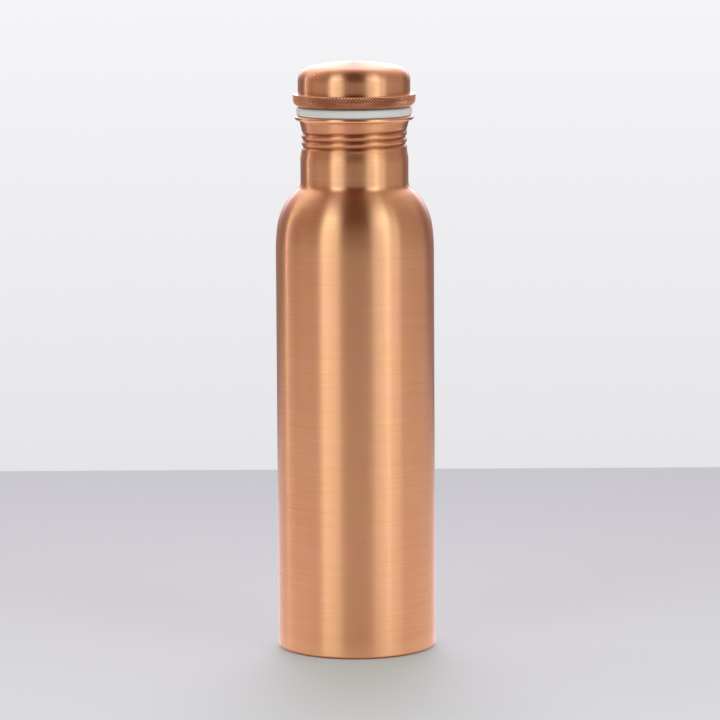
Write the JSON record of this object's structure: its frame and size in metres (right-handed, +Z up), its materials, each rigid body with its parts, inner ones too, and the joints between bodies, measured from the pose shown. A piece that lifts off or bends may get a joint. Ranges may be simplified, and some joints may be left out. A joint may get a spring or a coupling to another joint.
{
  "type": "water bottle",
  "caption": "Slim round copper bottle with a rolled-thread neck and a domed screw plug cap with a knurled collar.",
  "frame": {"origin": "on the bottle's axis, in the plane of the foot that it stands on", "axes": "+Z up along the bottle's axis towards the cap, -Y towards the viewer, +X to the viewer's right"},
  "size_m": [0.074, 0.074, 0.2758],
  "materials": {
    "brushed_copper": "copper, circumferentially brushed satin",
    "knurled_copper": "copper, diamond knurled",
    "pressed_copper": "copper, pressed, dull satin",
    "plug_copper": "copper, turned, semi-bright",
    "silicone": "translucent white silicone, matt"
  },
  "bodies": {
    "bottle": {"body_shell": "brushed_copper", "base_plate": "pressed_copper"},
    "washer": {"seal_washer": "silicone"},
    "cap": {"knurled_collar": "knurled_copper", "cap_dome": "brushed_copper", "plug_sleeve": "plug_copper", "plug_disc": "plug_copper"}
  },
  "joints": [
    {"name": "cap_rise", "type": "slide", "parent": "bottle", "child": "washer", "axis": [0, 0, 1], "range_m": [0, 0.0193]},
    {"name": "cap_turn", "type": "hinge", "parent": "washer", "child": "cap", "pos_m": [0, 0, 0.25], "axis": [0, 0, 1], "range_deg": [0, 2160]}
  ],
  "couplings": [
    {"joint": "cap_rise", "follows": "cap_turn", "m_per_rad": 0.0005093}
  ]
}
